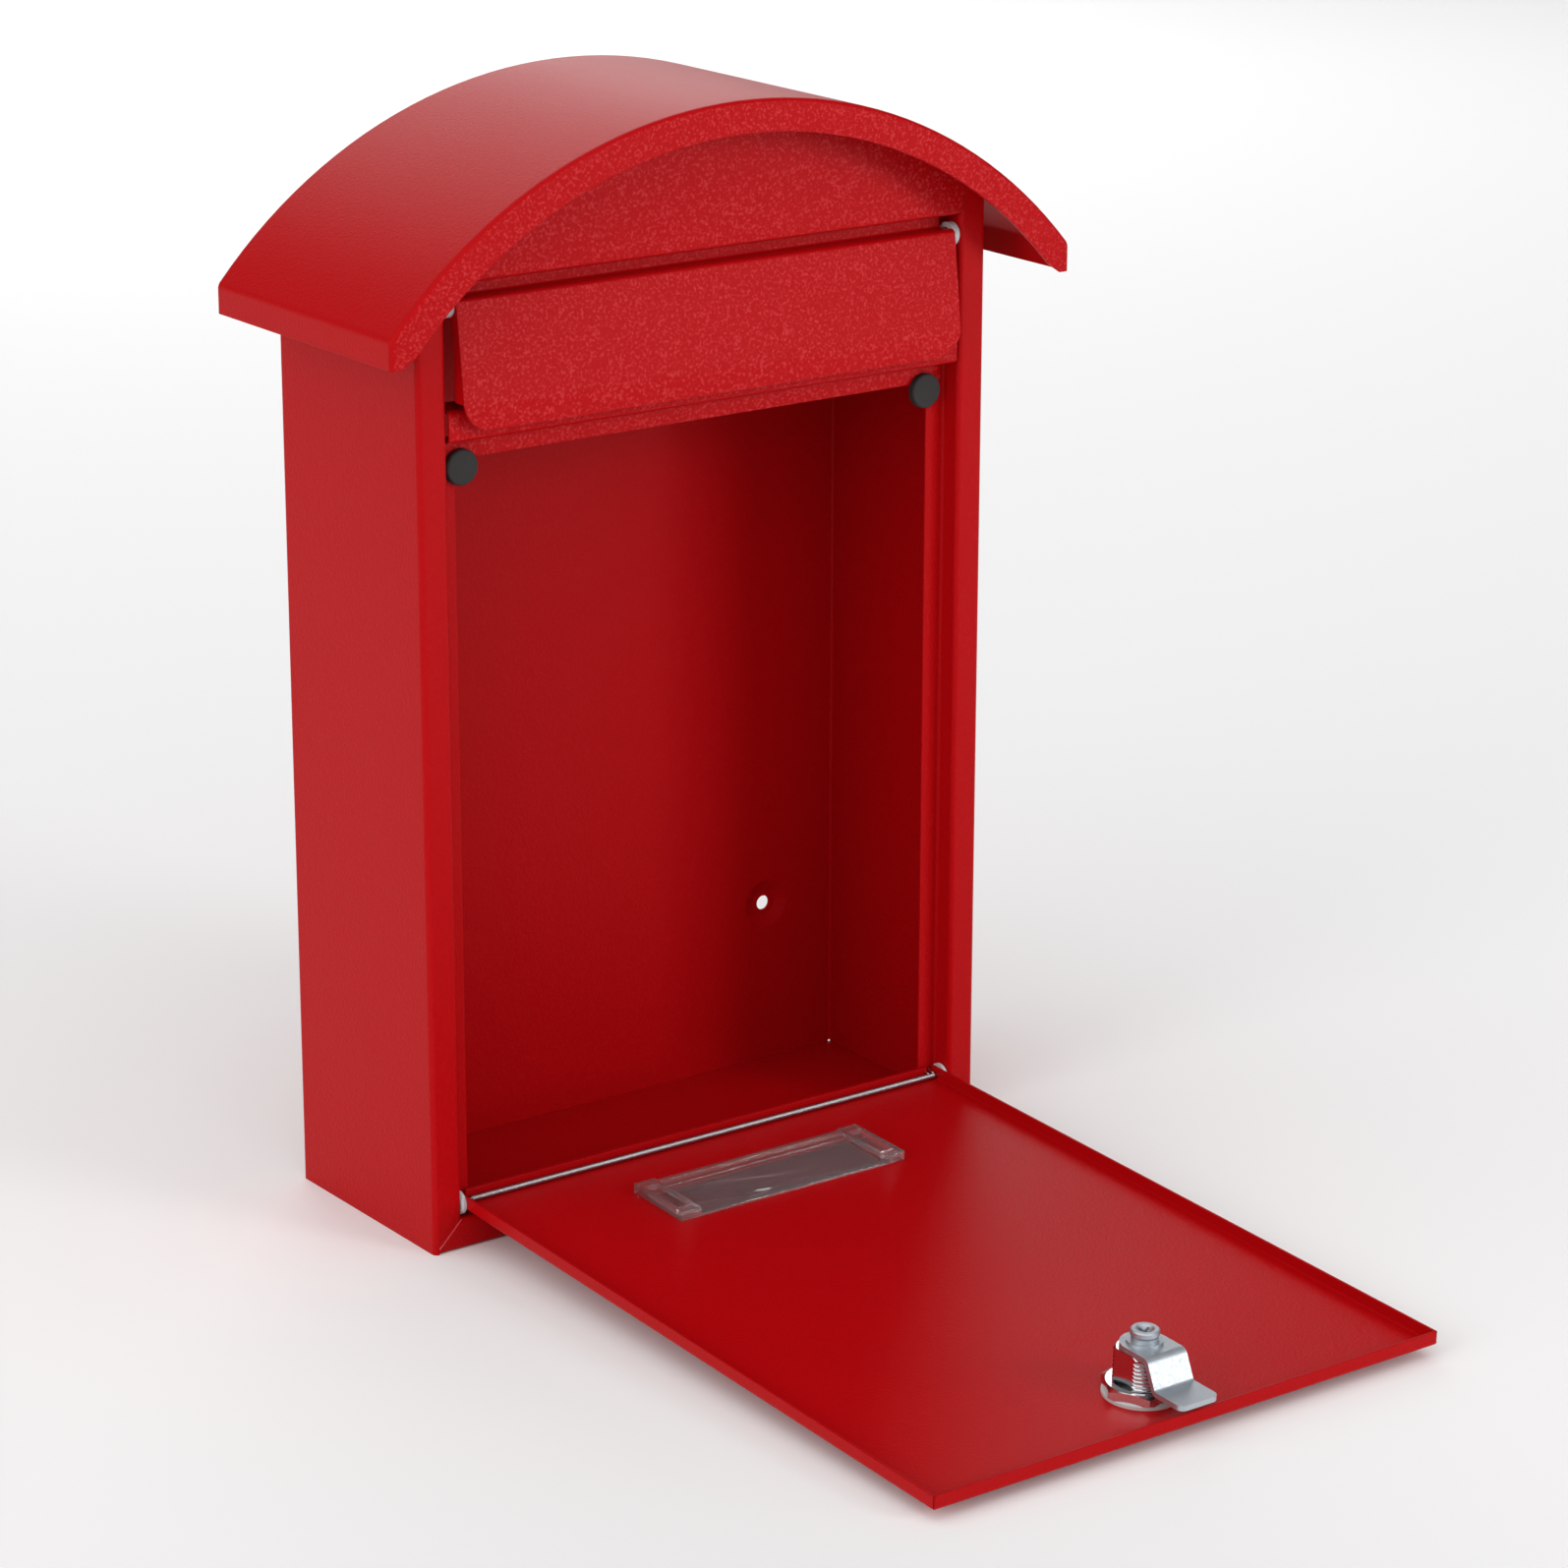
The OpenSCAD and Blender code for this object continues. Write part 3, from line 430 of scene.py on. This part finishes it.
# %% Lay a bead on each mitre
FRONT_FACE, BOX_FOOT = -100.4 * MM, -195 * MM
BEAD_RADIUS, BEAD_TIP, BEAD_FLATNESS = 0.38 * MM, 0.4, 0.5
BEAD_STEPS = ((0.04, 2.5), (0.92, 1), (0.04, BEAD_TIP))  # share of the length, growth in width
MITRE_OUT, MITRE_IN = 129.0 * MM, 118.6 * MM
MITRE_SUM = 131.05 * MM  # on the mitre, the way out from the middle plus the way up from the foot
# The seam paint is glossier, and its paler red is a painted highlight.
seam_painted_highlight, _, _ = finish_of("red_seam_painted_highlight", (0.60, 0.03, 0.035), roughness=0.22)


def mitre_bead(name, side):
    let_go()
    bpy.ops.mesh.primitive_circle_add(vertices=8, radius=BEAD_RADIUS * BEAD_TIP)
    bead = bpy.context.object
    bead.name = name
    length = (MITRE_OUT - MITRE_IN) * math.sqrt(2)
    fill_circle()
    height = 0
    for share, widen in BEAD_STEPS:
        bpy.ops.mesh.extrude_region_move(TRANSFORM_OT_translate={"value": (0, 0, share * length)})
        height += share * length
        bpy.ops.transform.resize(value=(widen, widen, 1), center_override=(0, 0, height))
    faces_outwards()
    bpy.ops.object.shade_smooth()
    start = Vector((side * MITRE_OUT, FRONT_FACE, BOX_FOOT + MITRE_SUM - MITRE_OUT))
    carry_over(bead, Matrix.Translation(start) @ Matrix.Rotation(-side * math.radians(45), 4, "Y")
               @ Matrix.Diagonal((1, BEAD_FLATNESS, 1, 1)))
    bead.data.materials.append(seam_painted_highlight)
    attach(bead, "box")
    return bead


for side, name in ((-1, "mitre_bead_left"), (1, "mitre_bead_right")):
    bead = mitre_bead(name, side)
    print(name, [round(d * 1000, 2) for d in bead.dimensions], "mm")

# %% [markdown]
# ## The hinge spring
# A close-wound coil of thin wire slides over the hinge rod and pulls the door shut. Drawn as a
# smooth sleeve it would mirror like a pipe, while the real coil breaks the light at every turn.
# One small circle is the wire's section, and the Screw modifier carries it round the rod some
# four hundred times, each turn one wire further on.

# %% Wind the coil
WIRE = 0.55 * MM
TURN_STEP = 0.57 * MM
COIL_RADIUS = 1.35 * MM - WIRE / 2
COIL_START, COIL_END = -111.8 * MM, 114.8 * MM
TURNS = int((COIL_END - COIL_START - WIRE) / TURN_STEP)
STEPS_IN_A_TURN = 12

let_go()
bpy.ops.mesh.primitive_circle_add(vertices=6, radius=WIRE / 2,
                                  location=(COIL_START + WIRE / 2, COIL_RADIUS, 0))
coil = bpy.context.object
coil.name = "hinge_coil"
bpy.ops.object.transform_apply(location=True)
winding = coil.modifiers.new("winding", "SCREW")
winding.axis = "X"
winding.angle = math.tau
winding.screw_offset = TURN_STEP
winding.iterations = TURNS
winding.steps = winding.render_steps = STEPS_IN_A_TURN
bpy.ops.object.modifier_apply(modifier="winding")
print("turns:", TURNS, "faces:", len(coil.data.polygons))

# %% [markdown]
# Near the right end of the coil the photograph shows two short ends of wire that lean back on
# the strip behind the hinge. Each starts as a circle on top of the coil, and is extruded back
# and then a little upwards. The left one rises a little more.

# %% Bend the two short ends
LEG_STEPS = ((0.5, 0), (0.25, 0.35), (0.25, 0.65))  # shares of the run and of the rise


def wire_end(place_x, run, rise):
    let_go()
    bpy.ops.mesh.primitive_circle_add(vertices=8, radius=WIRE / 2,
                                      rotation=(math.radians(90), 0, 0),
                                      location=(place_x, 0, COIL_RADIUS))
    leg = bpy.context.object
    bpy.ops.object.transform_apply(location=True, rotation=True)
    fill_circle()
    for back, upwards in LEG_STEPS:
        step = (0, run * back, rise * upwards)
        bpy.ops.mesh.extrude_region_move(TRANSFORM_OT_translate={"value": step})
    faces_outwards()
    return leg


LEG_RUN = 4.2 * MM
LEG_PLACES_AND_RISES = ((114.3 * MM, 0.9 * MM), (111.9 * MM, 1.3 * MM))
legs = [wire_end(place_x, LEG_RUN, rise) for place_x, rise in LEG_PLACES_AND_RISES]
print("short ends:", len(legs))

# %% [markdown]
# The coil is still open at its two ends, where the wire was cut. Filling these holes makes it a
# closed shell, and then the short ends join it, so that the whole spring is one piece that rides
# the door.

# %% Close the coil and fit the spring
take(coil)
bpy.ops.object.mode_set(mode="EDIT")
bpy.ops.mesh.select_all(action="SELECT")
bpy.ops.mesh.fill_holes(sides=0)
faces_outwards()
for leg in legs:
    leg.select_set(True)
bpy.ops.object.join()
bpy.ops.object.shade_smooth()
carry_over(coil, door_frame)
coil.data.materials.append(spring_wire)
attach(coil, "front_door")
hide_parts("door_spring")
print("coil reaches from", round(min(v.co.x for v in coil.data.vertices), 4),
      "to", round(max(v.co.x for v in coil.data.vertices), 4))

# %% [markdown]
# ## The clear name holder
# The holder is moulded in clear plastic, and what shows of such a piece is its edges: each one is
# a little rounded, and draws a bright line. The solid's edges are sharp, so a copy of it gets a
# fine bevel. The solid is loose triangles, so the copy is first merged, and its flat faces are
# joined up, because a bevel on loose triangles would tear them apart.

# %% Merge a copy of the holder
SAME_POINT = 0.002 * MM
SAME_FACE = math.radians(2)
holder = parts["name_holder"].copy()
holder.data = parts["name_holder"].data.copy()
bpy.context.collection.objects.link(holder)
holder.name = "clear_holder"
holder.parent = None
holder.matrix_world = Matrix.Identity(4)
take(holder)
bpy.ops.object.mode_set(mode="EDIT")
bpy.ops.mesh.select_all(action="SELECT")
bpy.ops.mesh.remove_doubles(threshold=SAME_POINT)
bpy.ops.mesh.dissolve_limited(angle_limit=SAME_FACE)
bpy.ops.object.mode_set(mode="OBJECT")
print("merged holder:", len(holder.data.polygons), "faces")

# %% Round its edges
HOLDER_ROUNDING = 0.35 * MM
SHARP_EDGE, SMOOTH_EDGE = math.radians(40), math.radians(35)
rounding = holder.modifiers.new("rounding", "BEVEL")
rounding.width = HOLDER_ROUNDING
rounding.segments = 2
rounding.limit_method = "ANGLE"
rounding.angle_limit = SHARP_EDGE
bpy.ops.object.modifier_apply(modifier="rounding")
bpy.ops.object.shade_smooth_by_angle(angle=SMOOTH_EDGE)
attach(holder, "front_door")
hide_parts("name_holder")
print("rounded holder:", len(holder.data.polygons), "faces")

# %% [markdown]
# ## The lock's thread
# The lock's barrel is a thread with two sides milled flat. A turner would cut it on a lathe, and
# it is made here in the same way: a circle grows along a list of radii and heights, ring by ring.
# Rings and not a helix are drawn, because the slope of so fine a thread can't be seen and closed
# rings leave a closed shell. The last ring lands on the first, and the two are merged.

# %% A lathe for turned pieces
SAME_RING = 0.001 * MM


def turned(name, outline, sides=64):
    """Grows a ring of metal along a closed outline of radius and height, both in metres."""
    let_go()
    radius, height = outline[0]
    bpy.ops.mesh.primitive_circle_add(vertices=sides, radius=radius, location=(0, 0, height))
    piece = bpy.context.object
    piece.name = name
    bpy.ops.object.transform_apply(location=True)
    bpy.ops.object.mode_set(mode="EDIT")
    bpy.ops.mesh.select_all(action="SELECT")
    for wide, high in outline[1:] + outline[:1]:
        bpy.ops.mesh.extrude_edges_move(TRANSFORM_OT_translate={"value": (0, 0, high - height)})
        growth = wide / radius
        bpy.ops.transform.resize(value=(growth, growth, 1), center_override=(0, 0, high))
        radius, height = wide, high
    bpy.ops.mesh.select_all(action="SELECT")
    bpy.ops.mesh.remove_doubles(threshold=SAME_RING)
    faces_outwards()
    return piece


print("lathe:", turned.__name__)

# %% [markdown]
# The barrel's outline goes up its outside in grooves of one pitch each, ends in a small chamfer,
# and comes back down the bore. Each groove is wide at the top and narrow at the root, as a
# thread's is.

# %% Turn the threaded barrel
BORE, THREAD_TOP, THREAD_ROOT, CHAMFER_TOP = 6.05 * MM, 10.9 * MM, 10.25 * MM, 10.0 * MM
THREAD_START, THREAD_END, BARREL_TOP = 0.9 * MM, 17.9 * MM, 18.8 * MM
PITCH, GROOVES = 1.5 * MM, 11
GROOVE = ((THREAD_TOP, 0), (THREAD_ROOT, 0.55 * MM), (THREAD_ROOT, 0.75 * MM),
          (THREAD_TOP, 1.3 * MM))
outline = [(BORE, 0), (THREAD_TOP, 0)]
for number in range(GROOVES):
    low = THREAD_START + number * PITCH
    outline += [(radius, low + rise) for radius, rise in GROOVE]
outline += [(THREAD_TOP, THREAD_END), (CHAMFER_TOP, BARREL_TOP), (BORE, BARREL_TOP)]
barrel = turned("threaded_barrel", outline)
print("rings:", len(outline), "faces:", len(barrel.data.polygons))

# %% [markdown]
# The hole in the door has two straight sides, and the barrel has two flats to match, so that it
# can't turn with the key. A bisecting plane cuts all that lies outside each flat and fills the
# cut, as a milling cutter would leave it.

# %% Mill the two flats
FLAT_HALF = 9 * MM
for side in (-1, 1):
    bpy.ops.object.mode_set(mode="EDIT")
    bpy.ops.mesh.select_all(action="SELECT")
    bpy.ops.mesh.bisect(plane_co=(side * FLAT_HALF, 0, 0), plane_no=(side, 0, 0), use_fill=True,
                        clear_outer=True)
    bpy.ops.object.mode_set(mode="OBJECT")
print("barrel is", round(barrel.dimensions.x * 1000, 2), "mm over its flats")

# %% [markdown]
# On the outer side of the door the barrel ends in a bezel, a ring with a soft shoulder. The
# door's weight rests on it while it lies open. It is turned on the same lathe and joined to the
# barrel.

# %% Turn the bezel and fit the lock
BEZEL_FACE = -5.2 * MM
SMOOTH_TURNING = math.radians(28)
bezel_outline = [
    (BORE, BEZEL_FACE), (10.75 * MM, BEZEL_FACE), (11.5 * MM, -4.85 * MM),
    (12.65 * MM, -4.0 * MM), (13.1 * MM, -3.2 * MM), (13.25 * MM, -2.2 * MM),
    (13.25 * MM, -0.3 * MM), (12.95 * MM, 0), (BORE, 0),
]
bezel = turned("bezel", bezel_outline, sides=96)
take(barrel)
bezel.select_set(True)
bpy.ops.object.join()
bpy.ops.object.shade_smooth_by_angle(angle=SMOOTH_TURNING)
carry_over(barrel, lock_frame)
barrel.data.materials.append(chrome)
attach(barrel, "front_door")
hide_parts("lock_barrel")
print("barrel and bezel:", len(barrel.data.polygons), "faces")
